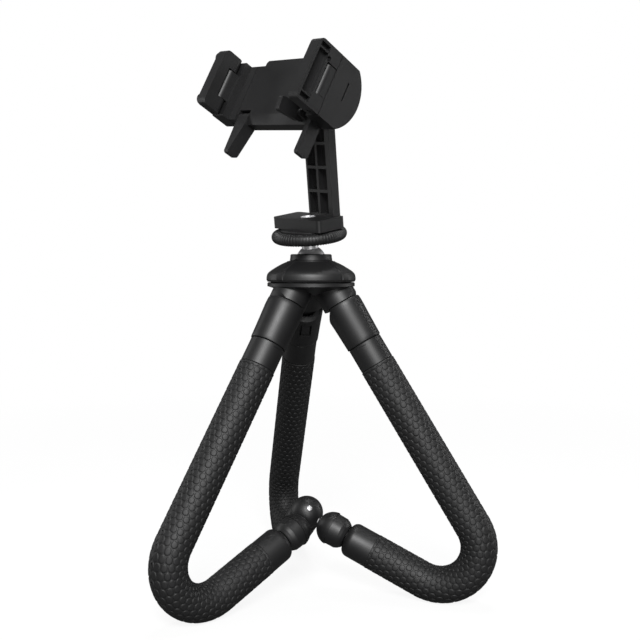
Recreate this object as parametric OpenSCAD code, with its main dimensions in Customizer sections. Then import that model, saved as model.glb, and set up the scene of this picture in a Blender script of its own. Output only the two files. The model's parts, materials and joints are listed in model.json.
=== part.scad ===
// Flexible tripod with a folding spring clamp for a phone, at its real size in millimetres.
// The origin is on the floor under the hub. X runs to the right, Y to the back and Z up.

/* [Legs] */
// Outside diameter of the rubber sleeve of a leg
sleeve_d = 18.9; // [16:0.1:22]
// Angle between the upper run of a leg and the vertical
leg_lean = 32; // [26:0.5:38]
// Length of a leg's axis from the top of its cuff to the bend
leg_run = 135.7; // [110:0.1:170]
// Distance from the hub's axis to a leg's axis at the top of the cuff
leg_spread = 16.4; // [15.5:0.1:18]
// Radius of the bend, on the leg's axis
bend_r = 21.3; // [18:0.1:28]
// Turn of the bend of each leg, in degrees
bend_turns = [146.4, 151, 146.4]; // [140:0.1:155]
// Length of a leg's axis from the bend to the middle of the foot
low_run = 55.2; // [55:0.1:58]
// Direction of the first leg, seen from above
leg_turn = -18.2; // [-60:0.1:60]
// Depth to which the rubber is pressed flat where a leg stands
floor_flat = 0.35; // [0.2:0.05:0.6]
// Diameter of the soft metal rod in a leg
rod_d = 6; // [4:0.1:7]
// Diameter of the rod's bright end, which shows at the foot's tip
rod_tip_d = 3; // [2:0.1:4]

/* [Cuffs and collars] */
// Length of a cuff
cuff_l = 25.3; // [22:0.1:30]
// Diameter of a cuff at its top
cuff_d = 20.6; // [20:0.1:23]
// Diameter of a cuff at its lower edge
cuff_low_d = 19.5; // [18.5:0.1:21]
// Wall of a cuff
cuff_wall = 1.8; // [1.2:0.1:2.2]
// Size of the slanted cut on the inner side of a cuff
cuff_cut = 5.3; // [3:0.1:6]
// Width of the snap window in a cuff
window_w = 6.3; // [5:0.1:9]
// Height of the snap window in a cuff
window_h = 6.8; // [4:0.1:7.4]
// Length of the part of a collar that shows
collar_l = 13.6; // [10:0.1:18]
// Diameter of a collar
collar_d = 18.5; // [17.5:0.1:19.5]
// Diameter of the collar's neck inside the sleeve
neck_d = 12; // [9:0.1:14]
// Length of the necks inside the sleeve
neck_l = 10; // [6:0.5:14]

/* [Feet] */
// Length of an end cap
cap_l = 15.4; // [12:0.1:18]
// Gap between an end cap and its foot
foot_gap = 0.5; // [0.3:0.1:1]
// Diameter of a foot's neck
foot_neck_d = 13.4; // [12:0.1:16]
// Greatest diameter of a foot
foot_d = 18.4; // [17:0.1:18.6]
// Distance of a foot's neck from its middle
foot_back = 9.7; // [8:0.1:11]
// Distance of a foot's tip from its middle
foot_front = 7.6; // [6:0.1:8.2]

/* [Hub and knob] */
// Diameter of the hub's top disc
hub_d = 47; // [46:0.1:48.4]
// Height of the hub's top above the top of the cuffs' axis
hub_rise = 10.3; // [10:0.1:11]
// Diameter of the locking knob over its ridges
knob_d = 49.6; // [47:0.1:52]
// Height of the upright band of the knob
knob_band = 5; // [3.5:0.1:6]
// Height of the knob's slope, from its band to its ring
knob_slope = 7; // [6:0.1:8]
// Swell of the knob's panels above a straight slope
knob_swell = 1.7; // [1:0.1:2.2]
// Swell of the ridges between the panels
ridge_swell = 2.7; // [2.3:0.1:3.2]
// Diameter of the knob's ring
ring_d = 21.9; // [20.5:0.1:24]
// Height of the knob's ring
ring_h = 2.8; // [2:0.1:4]
// Number of arched panels round the knob
panels = 4; // [3:1:4]
// Radius of a panel's arch
panel_r = 14.8; // [12:0.1:15.6]
// Depth of a panel's edge below the ridges at the knob's band
panel_deep = 0.5; // [0.3:0.1:0.9]
// Direction of the first panel, seen from above
panel_turn = 3.2; // [-45:0.1:45]

/* [Ball and wheel] */
// Diameter of the ball
ball_d = 16; // [14:0.1:17]
// Height of the ball's centre above the foot of the knob
ball_rise = 11.6; // [10.8:0.1:12]
// Diameter of the ball's neck
ball_neck_d = 8.7; // [7:0.1:9.5]
// Diameter of the screw stud on the ball
stud_d = 6.2; // [5.8:0.1:6.35]
// Length of the stud above the wheel
stud_l = 6.2; // [4:0.1:7]
// Distance from the ball's centre to the underside of the wheel
wheel_rise = 10.8; // [10.6:0.1:12]
// Diameter of the locking wheel
wheel_d = 40.6; // [34:0.1:42]
// Thickness of the locking wheel
wheel_t = 6; // [5.4:0.1:7]
// Number of grooves round the wheel
wheel_grooves = 60; // [40:1:72]
// Thickness of the rubber washer on the wheel
washer_t = 0.6; // [0.4:0.1:1]
// Lean of the holder from the vertical
holder_lean = 12.4; // [0:0.1:20]
// Direction in which the holder leans
holder_lean_turn = -108.4; // [-180:0.1:180]
// Turn of the holder on its stud
holder_turn = 61.2; // [0:0.1:360]

/* [Bracket] */
// Width of the bracket's block
block_w = 36.4; // [32:0.1:40]
// Depth of the bracket's block
block_d = 18.8; // [17:0.1:22]
// Thickness of the bracket's block
block_t = 6.1; // [5:0.1:8]
// Diameter of the threaded insert
insert_d = 8; // [7.6:0.1:8.2]
// Width of the upright stem
stem_w = 18.4; // [16:0.1:20]
// Thickness of the upright stem
stem_t = 5.2; // [4.4:0.1:5.4]
// Distance from the middle of the block to the stem's right side
stem_x = 15; // [13:0.1:16]
// Height of the tilt axis above the block
stem_h = 53.4; // [46:0.2:60]
// Rows of pockets in the stem
pocket_rows = 4; // [3:1:6]
// Wall between two pockets
pocket_rib = 1.5; // [1:0.1:2.2]
// Floor left behind the pockets
pocket_floor = 1.5; // [1:0.1:2]
// Diameter of the stem's round top
stem_eye_d = 7.6; // [6.4:0.1:7.7]
// Diameter of the tilt pin
tilt_pin_d = 4; // [3:0.1:4.4]

/* [Clamp] */
// Backward tilt of the clamp
clamp_tilt = 36.3; // [0:0.1:80]
// Distance from the stem's right side to the clamp's right end
end_reach = 12.7; // [12.6:0.1:13.6]
// Thickness of the rounded end housing
end_t = 9.2; // [8.6:0.1:9.4]
// Height of the end housing and of the jaws
jaw_h = 33.3; // [30:0.1:36]
// Radius of the end housing's round back
end_r = 20.9; // [19:0.1:24]
// Distance from the tilt axis to the clamp's back
plate_back = 4.15; // [4.1:0.05:4.6]
// Thickness of the rear cover
cover_t = 2.8; // [2:0.1:3]
// Thickness of the front plate
front_t = 4.8; // [4.4:0.1:5.6]
// Height of the hinge line over the front plate
hinge_rise = 4.7; // [4:0.1:5.4]
// Distance from the tilt axis up to the middle of the jaws
jaw_mid = 4.7; // [3:0.1:6]
// Height of the plate above the middle of the jaws
plate_up = 21.6; // [19:0.1:24]
// Height of the plate below the middle of the jaws
plate_down = 17.9; // [17:0.1:20]
// Distance from the clamp's right end to the plate's left edge
plate_w = 71.5; // [66:0.5:80]
// Width of the notch at the plate's upper left corner
notch_w = 4.8; // [3:0.1:8]
// Distance from the clamp's right end to the inner face of the left jaw
grip_w = 78.5; // [77.5:0.5:82]

/* [Jaws] */
// Thickness of the right jaw
jaw_t = 6.6; // [6:0.1:7.4]
// Length of the right jaw above the hinge line
right_jaw_l = 16.7; // [14:0.1:20]
// Length of the left jaw above the hinge line
left_jaw_l = 13.4; // [12:0.1:18]
// Height of the middle knuckle of a jaw hinge
knuckle_h = 16.2; // [12:0.1:18]
// Diameter of a jaw's hinge pin
jaw_pin_d = 2; // [1.6:0.1:2.4]
// Depth of the recess in the right jaw
jaw_recess = 2.4; // [1:0.1:4.4]
// Diameter of the small hole in the right jaw
jaw_hole_d = 2.6; // [1.6:0.1:3]

/* [Slider] */
// Thickness of the slider's tongue
tongue_t = 2; // [1.6:0.1:2.2]
// Width of the slider's tongue
tongue_w = 24; // [18:0.1:25]
// Length of the tongue inside the plate
tongue_l = 38; // [34:0.5:40]
// Travel of the slider
slide_travel = 18; // [10:0.5:20]
// Height of the left jaw's middle above the right jaw's
left_rise = 1; // [0:0.1:1.6]
// Diameter of a spring
spring_d = 2; // [1.4:0.1:2.2]

/* [Fingers] */
// Length of a support finger from its pin
finger_l = 20.6; // [18:0.1:24]
// Length of the stop finger from its pin
stop_l = 13; // [10:0.1:15]
// Swing of the stop finger, up from hanging down
stop_swing = 82; // [0:1:90]
// Distance from the clamp's right end to the stop finger
stop_place = 17.2; // [17.2:0.1:20]
// Thickness of the right finger and the stop finger
finger_t = 3; // [2.4:0.1:3.1]
// Width of the left finger at its root
finger_root = 8.6; // [7.4:0.1:10]
// Width of the left finger at its tip
finger_tip = 3; // [2.4:0.1:4]
// Diameter of a finger's pin
finger_pin_d = 2; // [1.6:0.1:2.4]
// Distance from a finger's pin to the lower edge of the plate
finger_pin_up = 3.9; // [3.9:0.1:4.4]

/* [Hidden] */
$fn = 64;

// Clearance of a running fit, on the radius
fit = 0.06;
// Gap between pieces that move past each other
clear = 0.3;
// Gap between pieces that are fixed to each other
seat = 0.1;
// Overrun of a cut
over = 1;
// Size of a plain edge chamfer
edge = 0.8;
// Size of a fine edge chamfer
fine = 0.4;
// Thinnest wall
wall = 1.6;
// Colours as the photograph shows them
plastic = [0.09, 0.09, 0.095];
rubber = [0.06, 0.06, 0.06];
nylon = [0.2, 0.2, 0.2];
metal = [0.78, 0.78, 0.8];

// Leg geometry, in the leg's own upright plane with X outward
sleeve_r = sleeve_d / 2;
rod_r = rod_d / 2;
rod_tip_r = rod_tip_d / 2;
axis_z = sleeve_r - floor_flat + leg_run * cos(leg_lean) + bend_r * (1 + sin(leg_lean));
run_dir = [sin(leg_lean), 0, -cos(leg_lean)];
run_top = [leg_spread, 0, axis_z];
bend_mid = run_top + leg_run * run_dir - bend_r * [cos(leg_lean), 0, sin(leg_lean)];
function bend_point(a) = bend_mid + bend_r * [cos(leg_lean - a), 0, sin(leg_lean - a)];
function low_angle(k) = leg_lean - 90 - bend_turns[k];
function low_dir(k) = [cos(low_angle(k)), 0, sin(low_angle(k))];
collar_end = cuff_l + collar_l;
cap_end = low_run - foot_back - foot_gap;
cap_start = cap_end - cap_l;
cap_r = sleeve_r - seat;
// Length of the sleeve's top stretch, in which a leg swings outward
top_l = 24;
// Fine seam between two stretches of a sleeve
seam = 0.02;
neck_r = neck_d / 2;
cuff_r = cuff_d / 2;
cuff_low_r = cuff_low_d / 2;
cuff_bore = cuff_low_r - cuff_wall;
spigot_r = cuff_bore - seat;
// Length of the spigots that fill a cuff from its two ends
hub_spigot_l = 8;
collar_spigot_l = 16;
// Gap line between the hub's stub and a cuff
stub_gap = 0.4;
stub_l = 13;
// Start of a cuff below the top of the leg's axis
cuff_from = 1.6;
collar_r = collar_d / 2;
foot_r = foot_d / 2;
foot_neck_r = foot_neck_d / 2;

// Hub and knob
hub_top = axis_z + hub_rise;
hub_r = hub_d / 2;
// Heights of the hub's edge and of its pointed underside below its top
hub_edge_h = 2;
hub_deep = 7.3;
knob_foot = hub_top + clear;
knob_r = knob_d / 2;
// Draft of the knob's band and the bevel under it
band_draft = 0.6;
band_bevel = 1;
ring_r = ring_d / 2;
// Radius at which the knob's slope ends inside its ring
slope_in_r = ring_r - edge;
band_top = knob_foot + knob_band;
ring_foot = band_top + knob_slope;
ring_top = ring_foot + ring_h;
// Depth of the panels' arch centres below the knob's foot
panel_sink = 2.7;

// Ball, its cup and the tower round them
ball_r = ball_d / 2;
ball_z = knob_foot + ball_rise;
socket_r = ball_r + clear;
cup_r = socket_r + wall + edge;
tower_r = cup_r + fit + wall + edge;
cup_foot = ball_z - socket_r - wall / 2;
cup_top = ball_z - wall;
tower_top = cup_top;
neck_top = wheel_rise;
ball_neck_r = ball_neck_d / 2;
stud_r = stud_d / 2;
wheel_foot = wheel_rise + seat;
wheel_top = wheel_foot + wheel_t;
wheel_r = wheel_d / 2;
// Radius of a groove in the wheel's rim and of the rim's rounding
groove_r = 0.6;
rim_round = 2.6;
washer_r = 15;
block_foot = wheel_top + washer_t + seat;
block_top = block_foot + block_t;

// Bracket and tilt axis, in the holder's frame
stem_back = block_d / 2;
stem_mid = stem_back - stem_t / 2;
tilt_z = block_top + stem_h;
stem_eye_r = stem_eye_d / 2;
tilt_pin_r = tilt_pin_d / 2;
stem_left = stem_x - stem_w;
// Walls of the stem to the left of, between and to the right of its pockets
stem_walls = [1.3, 1.6, 3];
pocket_w = (stem_w - stem_walls[0] - stem_walls[1] - stem_walls[2]) / 2;
pocket_pitch = (stem_h - stem_eye_r) / pocket_rows;
block_round = 2;

// Clamp, in its own frame: distance leftwards from the right end, height over the
// hinge line, and distance down from the middle of the jaws
end_x = stem_x + end_reach;
tilt_n = -(plate_back + cover_t + front_t + hinge_rise);
tilt_h = jaw_mid;
front_n = -hinge_rise;
layer_n = front_n - front_t;
back_n = layer_n - cover_t;
jaw_half = jaw_h / 2;
jaw_r = jaw_t / 2;
jaw_pin_r = jaw_pin_d / 2;
jaw_pin_n = jaw_r + clear;
tab_r = jaw_r - clear;
knuckle_half = knuckle_h / 2;
// Place of the round back's centre
end_mid_n = end_r - 21.5;
boss_r = stem_eye_r;
// Start and depth of the bevel along the plate's lower edge
bevel_from = 5.5;
bevel_deep = 2;
// Step down to the plate's upper flange
flange_h = 3.9;
flange_step = 1;
// Tongue pocket inside the plate
tongue_top = -14.4;
tongue_n = layer_n + seat + tongue_t;
pocket_n = tongue_n + clear;
pocket_end = 22;
// Slider
slider_from = plate_w + clear;
slider_block = 5.6;
slider_end = grip_w + jaw_t + 1.3;
slider_top = -17.7;
slider_low = 15.5;
left_pin_q = grip_w + jaw_r;
spring_r = spring_d / 2;
spring_wire = 0.4;
spring_turns = 14;
// Fingers
finger_r = (front_t + cover_t) / 2;
finger_mid_n = back_n + finger_r;
finger_pin_h = plate_down - finger_pin_up;
finger_pin_r = finger_pin_d / 2;
right_finger_q = end_t + clear + seat;
left_finger_q = plate_w - wall - clear - finger_root;
stop_pin_n = front_n + 2.6;
stop_pin_h = finger_pin_h;
// Run of a finger's pin into the plate on either side of the finger
pin_run = 2.4;

// Neck groove under the ball
neck_groove = 0.6;
// Head of the tilt pin
pin_head_t = 2;
// Lugs of the stop finger
stop_lug_r = 1.9;
// Slot in the outer face of the end housing
slot_n = -10.4;
slot_h = -7.4;
slot_l = 10.1;
// Springs
spring_places = [-9, 4];
spring_pitch = 0.7;
// Jaws
jaw_round = 3;
recess_half = jaw_half - wall;
recess_end = 2.6;
jaw_hole_n = 7.4;
jaw_hole_h = -9.8;
bump_r = 1.6;
bump_n = 5.6;
bump_h = 7;
// Thick outer pad of the left jaw
pad_t = 1.6;
finger_round = 1.5;
// Cuff's window and the slits beside the collar's snap
window_from = 10.6;
snap_slit = 0.9;
slit_w = 8;
cap_round = 4;
// Step between a foot's skirt and its dome, and the skirt's rounding towards the neck
foot_step = 0.7;
skirt_l = 3.4;

// Frames
module on_leg(k) {
    rotate([0, 0, leg_turn + 120 * k])
        children();
}
module on_run(s) {
    translate(run_top + s * run_dir)
        rotate([0, 180 - leg_lean, 0])
            children();
}
module on_low(k, s) {
    translate(bend_point(bend_turns[k]) + s * low_dir(k))
        rotate([0, 90 - low_angle(k), 0])
            children();
}
module on_ball() {
    translate([0, 0, ball_z])
        rotate([0, 0, holder_lean_turn])
            rotate([0, holder_lean, 0])
                rotate([0, 0, holder_turn])
                    children();
}
module on_clamp() {
    on_ball()
        translate([0, stem_mid, tilt_z])
            rotate([-clamp_tilt, 0, 0])
                translate([end_x, tilt_n, jaw_mid])
                    mirror([1, 0, 0])
                        rotate([180, 0, 0])
                            children();
}

// Plain shapes
module tube(r, bore, l) {
    difference() {
        cylinder(r = r, h = l);
        translate([0, 0, -over])
            cylinder(r = bore, h = l + 2 * over);
    }
}
// A rectangle with round corners, from its lower left corner
module round_square(size, r) {
    translate([r, 0])
        square([size[0] - 2 * r, size[1]]);
    translate([0, r])
        square([size[0], size[1] - 2 * r]);
    for (x = [r, size[0] - r], y = [r, size[1] - r])
        translate([x, y])
            circle(r = r);
}
// A bar of a cross-section in the height and down plane, laid along the clamp
module along_q(q, l) {
    translate([q + l, 0, 0])
        rotate([0, -90, 0])
            linear_extrude(l)
                children();
}
// A bar of a cross-section in the leftward and height plane, laid down the clamp
module along_h(h, l) {
    translate([0, 0, h])
        linear_extrude(l)
            children();
}
// A plate whose outline lies in the leftward and down plane
module along_n(n, l) {
    translate([0, n + l, 0])
        rotate([90, 0, 0])
            linear_extrude(l)
                children();
}
module rod_q(q, l, n, h, r) {
    translate([q, n, h])
        rotate([0, 90, 0])
            cylinder(r = r, h = l);
}
// One half of a leg's bend
module bend_part(k, i, r) {
    from = bend_turns[k] / 2 * i;
    to = from + bend_turns[k] / 2;
    translate(bend_mid)
        rotate([90, 0, 0])
            rotate([0, 0, leg_lean - to])
                rotate_extrude(angle = to - from)
                    translate([bend_r, 0])
                        circle(r = r);
}

// Hub: a disc with a shallow pointed underside, a tower for the ball and three stubs
module hub_body() {
    color(plastic)
        difference() {
            union() {
                rotate_extrude()
                    polygon([[0, hub_top - hub_deep], [cup_r - over, hub_top - hub_deep + edge],
                        [hub_r, hub_top - hub_edge_h], [hub_r, hub_top - fine],
                        [hub_r - fine, hub_top], [tower_r, hub_top],
                        [tower_r, tower_top - edge], [tower_r - edge, tower_top],
                        [0, tower_top]]);
                intersection() {
                    for (k = [0:2])
                        on_leg(k)
                            on_run(-stub_gap - stub_l)
                                cylinder(r = cuff_r - fine / 2, h = stub_l + cuff_from);
                    translate([0, 0, axis_z - cuff_r])
                        cylinder(r = hub_r + edge, h = hub_rise + cuff_r - fine);
                }
                for (k = [0:2])
                    on_leg(k)
                        on_run(-stub_gap - over)
                            cylinder(r = spigot_r, h = hub_spigot_l + stub_gap + over);
            }
            translate([0, 0, cup_foot])
                cylinder(r = cup_r + fit, h = tower_top - cup_foot + over);
            for (k = [0:2])
                on_leg(k)
                    on_run(0)
                        translate([spigot_r / 4, -cuff_r, cuff_from])
                            cube([cuff_r, cuff_d, hub_spigot_l]);
        }
}

// Round body of the knob: a band with a bevelled foot and a swelling slope up to the ring
module knob_body(r, swell) {
    run = r - band_draft - slope_in_r;
    slope = norm([knob_slope, run]);
    // Radius of an arch over the slope that rises by the swell
    arch = (slope * slope / 4 + swell * swell) / (2 * swell);
    rotate_extrude($fn = 128) {
        polygon([[0, knob_foot], [r - band_bevel, knob_foot], [r, knob_foot + 2 * band_bevel],
            [r - band_draft, band_top], [slope_in_r, ring_foot], [0, ring_foot]]);
        intersection() {
            translate([0, band_top])
                square([r - band_draft, knob_slope]);
            translate([r - band_draft - run / 2, band_top + knob_slope / 2]
                - (arch - swell) * [knob_slope, run] / slope)
                circle(r = arch, $fn = 128);
        }
    }
}

// Locking knob: arched panels between raised ridges, and a ring
module lock_knob() {
    color(plastic)
        difference() {
            union() {
                knob_body(knob_r - panel_deep, knob_swell);
                difference() {
                    knob_body(knob_r, ridge_swell);
                    for (k = [0:panels - 1])
                        rotate([0, 0, panel_turn + 360 / panels * k])
                            translate([0, 0, knob_foot - panel_sink])
                                rotate([0, 90, 0])
                                    cylinder(r = panel_r, h = knob_d);
                }
                rotate_extrude()
                    polygon([[0, band_top], [ring_r, band_top],
                        [ring_r, ring_top - fine], [ring_r - fine, ring_top],
                        [0, ring_top]]);
            }
            translate([0, 0, knob_foot - over])
                cylinder(r = tower_r + fit, h = tower_top - knob_foot + over + clear);
            translate([0, 0, ball_z])
                sphere(r = socket_r);
        }
}

// Cup in the tower in which the ball rests
module ball_cup() {
    color(nylon)
        difference() {
            translate([0, 0, cup_foot + seat])
                cylinder(r = cup_r, h = cup_top - cup_foot - seat);
            translate([0, 0, ball_z])
                sphere(r = socket_r);
        }
}

// Ball, its grooved neck and the screw stud on it, in one
module ball_stud() {
    color(metal)
        on_ball()
            difference() {
                union() {
                    sphere(r = ball_r);
                    cylinder(r = ball_neck_r, h = neck_top);
                    cylinder(r = stud_r, h = wheel_top + stud_l);
                }
                translate([0, 0, ball_r + neck_groove / 2])
                    difference() {
                        cylinder(r = ball_r, h = neck_groove);
                        translate([0, 0, -over])
                            cylinder(r = ball_neck_r - neck_groove, h = neck_groove + 2 * over);
                    }
            }
}

// Locking wheel: a disc with a rounded rim, ribbed by grooves
module lock_wheel() {
    color(plastic)
        on_ball()
            translate([0, 0, wheel_foot])
                difference() {
                    rotate_extrude($fn = 128)
                        translate([stud_r + fit, 0])
                            intersection() {
                                square([wheel_r - stud_r - fit, wheel_t]);
                                translate([-wheel_r, 0])
                                    round_square([2 * wheel_r - stud_r - fit, wheel_t],
                                        rim_round);
                            }
                    for (k = [0:wheel_grooves - 1])
                        rotate([0, 0, 360 / wheel_grooves * k])
                            translate([wheel_r + groove_r / 3, 0, -over])
                                cylinder(r = groove_r, h = wheel_t + 2 * over, $fn = 16);
                }
}

// Rubber washer on the wheel
module wheel_washer() {
    color(rubber)
        on_ball()
            translate([0, 0, wheel_top])
                tube(washer_r, stud_r + clear, washer_t);
}

// Bracket: a block on the wheel and an upright stem with rows of pockets in its front
module bracket() {
    color(plastic)
        on_ball()
            difference() {
                union() {
                    translate([-block_w / 2, -block_d / 2, block_foot])
                        linear_extrude(block_t)
                            round_square([block_w, block_d], block_round);
                    translate([stem_left, stem_back - stem_t, block_foot + edge])
                        cube([stem_w, stem_t, tilt_z - block_foot - edge]);
                    translate([stem_left, stem_mid, tilt_z])
                        rotate([0, 90, 0])
                            cylinder(r = stem_eye_r, h = stem_w);
                }
                for (c = [0:1], k = [0:pocket_rows - 1])
                    translate([stem_left + stem_walls[0] + c * (pocket_w + stem_walls[1]),
                        stem_back - stem_t - over,
                        block_top + pocket_rib + k * pocket_pitch])
                        cube([pocket_w, stem_t - pocket_floor + over,
                            pocket_pitch - pocket_rib]);
                translate([0, 0, block_foot - over])
                    cylinder(r = insert_d / 2 + seat, h = block_t + 2 * over);
                translate([stem_left - over, stem_mid, tilt_z])
                    rotate([0, 90, 0])
                        cylinder(r = tilt_pin_r + fit, h = stem_w + 2 * over);
            }
}

// Threaded insert moulded into the block, on the stud
module block_insert() {
    color(metal)
        on_ball()
            translate([0, 0, block_foot])
                tube(insert_d / 2, stud_r + fit, block_t);
}

// Tilt pin, with a head at its far end
module tilt_pin() {
    color(metal)
        on_clamp()
            union() {
                rod_q(wall, end_x - stem_left - wall + clear + pin_head_t, tilt_n, tilt_h,
                    tilt_pin_r);
                rod_q(end_x - stem_left + clear, pin_head_t, tilt_n, tilt_h,
                    stem_eye_r - fine);
            }
}

// Outline of the plate, seen from the front, with its notch and its finger slots
module plate_outline(inset) {
    difference() {
        translate([end_t + inset, slider_top + inset])
            square([plate_w - end_t - 2 * inset, plate_down - slider_top - 2 * inset]);
        translate([right_finger_q - clear, finger_pin_h - finger_r - clear])
            square([finger_t + 2 * clear, 2 * finger_r + 2 * clear]);
        translate([left_finger_q - clear, finger_pin_h - finger_r - clear])
            square([finger_root + 2 * clear, 2 * finger_r + 2 * clear]);
    }
    translate([end_t + inset, -plate_up + inset])
        round_square([plate_w - notch_w - end_t - 2 * inset, plate_up - inset], block_round);
}

// Section of the rounded end housing
module end_section(front) {
    intersection() {
        translate([-jaw_half, -2 * end_r])
            square([jaw_h, 2 * end_r + front]);
        translate([0, end_mid_n])
            circle(r = end_r, $fn = 128);
    }
}

// Holes for the pins of the three fingers
module finger_holes(extra) {
    rod_q(right_finger_q - pin_run - seat, finger_t + 2 * pin_run + 2 * seat,
        finger_mid_n, finger_pin_h, finger_pin_r + extra);
    rod_q(left_finger_q - pin_run, finger_root + pin_run + 2 * over + wall,
        finger_mid_n, finger_pin_h, finger_pin_r + extra);
    rod_q(stop_place - pin_run - seat, finger_t + 2 * pin_run + 2 * seat,
        stop_pin_n, stop_pin_h, finger_pin_r + extra);
}

// Middle knuckle of a jaw's hinge
module knuckle(q) {
    along_h(-knuckle_half, knuckle_h) {
        translate([q, jaw_pin_n])
            circle(r = tab_r);
        translate([q - tab_r, -over])
            square([2 * tab_r, jaw_pin_n + over]);
    }
}

// Front plate of the clamp, in one with its rounded end housing
module clamp_plate() {
    color(plastic)
        on_clamp()
            difference() {
                union() {
                    difference() {
                        along_n(layer_n, front_t)
                            plate_outline(0);
                        translate([end_t - over, front_n - flange_step, -plate_up - over])
                            cube([plate_w, flange_step + over, flange_h + over]);
                        along_q(end_t - over, plate_w)
                            polygon([[plate_down - bevel_from, front_n],
                                [plate_down, front_n - bevel_deep],
                                [plate_down + over, front_n - bevel_deep],
                                [plate_down + over, front_n + over],
                                [plate_down - bevel_from, front_n + over]]);
                    }
                    translate([end_t - over, layer_n, over - jaw_half])
                        cube([2 * over, front_t, jaw_half - over]);
                    along_q(0, end_t)
                        end_section(0);
                    knuckle(jaw_r);
                    rod_q(end_t - over, end_x - stem_x - end_t - seat + over, tilt_n, tilt_h,
                        boss_r);
                    for (q = [stop_place - clear - pin_run, stop_place + finger_t + clear])
                        along_q(q, pin_run) {
                            translate([stop_pin_h, stop_pin_n])
                                circle(r = stop_lug_r);
                            translate([stop_pin_h - stop_lug_r, front_n - bevel_deep])
                                square([2 * stop_lug_r, stop_pin_n - front_n + bevel_deep]);
                        }
                }
                translate([pocket_end, layer_n - over, tongue_top - clear])
                    cube([plate_w, pocket_n - layer_n + over, tongue_w + 2 * clear]);
                translate([stop_place - clear, stop_pin_n - finger_r - clear,
                    stop_pin_h - finger_r - clear])
                    cube([finger_t + 2 * clear, 2 * finger_r,
                        2 * finger_r + 2 * clear + over]);
                finger_holes(seat);
                rod_q(wall, end_x, tilt_n, tilt_h, tilt_pin_r + seat);
                translate([jaw_r, jaw_pin_n, -jaw_half])
                    cylinder(r = jaw_pin_r + seat, h = jaw_h);
                translate([-over, slot_n, slot_h])
                    cube([over + edge, edge, slot_l]);
            }
}

// Rear cover of the clamp, which closes the tongue pocket
module rear_cover() {
    color(plastic)
        on_clamp()
            difference() {
                along_n(back_n, cover_t)
                    plate_outline(seat);
                finger_holes(seat);
            }
}

// Slider: a flat tongue in the plate and the block that carries the left jaw
module slider() {
    color(plastic)
        on_clamp()
            difference() {
                union() {
                    translate([slider_from - tongue_l, layer_n + seat, tongue_top])
                        cube([tongue_l + over, tongue_t, tongue_w]);
                    along_q(slider_from, slider_block)
                        translate([slider_top, back_n])
                            square([slider_low - slider_top, front_n - back_n]);
                    along_q(slider_from + slider_block - fine,
                        slider_end - slider_from - slider_block + fine)
                        translate([-jaw_half - left_rise, back_n])
                            round_square([jaw_h, -back_n], edge);
                    translate([0, 0, -left_rise])
                        knuckle(left_pin_q);
                }
                translate([left_pin_q, jaw_pin_n, -jaw_half - left_rise])
                    cylinder(r = jaw_pin_r + seat, h = jaw_h);
            }
}

// Two tension springs between the plate and the tongue
module slide_springs() {
    color(metal)
        on_clamp()
            for (h = spring_places)
                translate([pocket_end + seat, layer_n + seat + spring_r, h])
                    rotate([0, 90, 0])
                        rotate_extrude($fn = 24)
                            for (i = [0:spring_turns - 1])
                                translate([spring_r - spring_wire,
                                    spring_wire + i * spring_pitch])
                                    circle(r = spring_wire, $fn = 12);
}

// A jaw that stands on its hinge: a rounded leaf with two outer knuckles and a square heel
module jaw(l) {
    difference() {
        intersection() {
            along_h(-jaw_half, jaw_h) {
                translate([0, 0])
                    circle(r = jaw_r);
                translate([-jaw_r, -jaw_r])
                    square(jaw_r);
                translate([-jaw_r, 0])
                    square([jaw_t, l - jaw_pin_n]);
            }
            along_q(-jaw_t, 2 * jaw_t)
                translate([-jaw_half, -jaw_t])
                    round_square([jaw_h, l - jaw_pin_n + jaw_t], jaw_round);
        }
        translate([-jaw_t, -jaw_t, -knuckle_half - clear])
            cube([2 * jaw_t, jaw_t + jaw_r + clear, knuckle_h + 2 * clear]);
        translate([0, 0, -jaw_h])
            cylinder(r = jaw_pin_r + fit, h = 2 * jaw_h);
    }
}

// Right jaw, with ribbed recesses in its outer face and a small hole
module right_jaw() {
    color(plastic)
        on_clamp()
            translate([jaw_r, jaw_pin_n, 0])
                difference() {
                    jaw(right_jaw_l);
                    for (part = [[-recess_half, recess_end],
                        [recess_end + edge - recess_half,
                            2 * (recess_half - recess_end - edge)],
                        [recess_half - recess_end, recess_end]])
                        translate([-jaw_r - over, jaw_r + clear + wall, part[0]])
                            cube([jaw_recess + over,
                                right_jaw_l - jaw_pin_n - jaw_r - clear - 2 * wall,
                                part[1]]);
                    rod_q(-jaw_t, 2 * jaw_t, jaw_hole_n - jaw_pin_n, jaw_hole_h,
                        jaw_hole_d / 2);
                }
}

// Left jaw, with a thick pad and two small bumps on its outer face
module left_jaw() {
    color(plastic)
        on_clamp()
            translate([left_pin_q, jaw_pin_n, -left_rise])
                mirror([1, 0, 0])
                    union() {
                        jaw(left_jaw_l);
                        along_q(-jaw_r - pad_t, pad_t + jaw_r / 2)
                            translate([edge - jaw_half, jaw_r + clear])
                                round_square([jaw_h - 2 * edge,
                                    left_jaw_l - jaw_pin_n - jaw_r - clear - edge],
                                    jaw_round);
                        for (h = [-bump_h, bump_h])
                            translate([bump_r / 3 - jaw_r - pad_t, bump_n, h])
                                sphere(r = bump_r);
                    }
}

// Hinge pins of the two jaws
module jaw_pin(q, rise) {
    color(metal)
        on_clamp()
            translate([q, jaw_pin_n, edge - jaw_half - rise])
                cylinder(r = jaw_pin_r, h = jaw_h - 2 * edge);
}
module right_jaw_pin() {
    jaw_pin(jaw_r, 0);
}
module left_jaw_pin() {
    jaw_pin(left_pin_q, left_rise);
}

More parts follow.
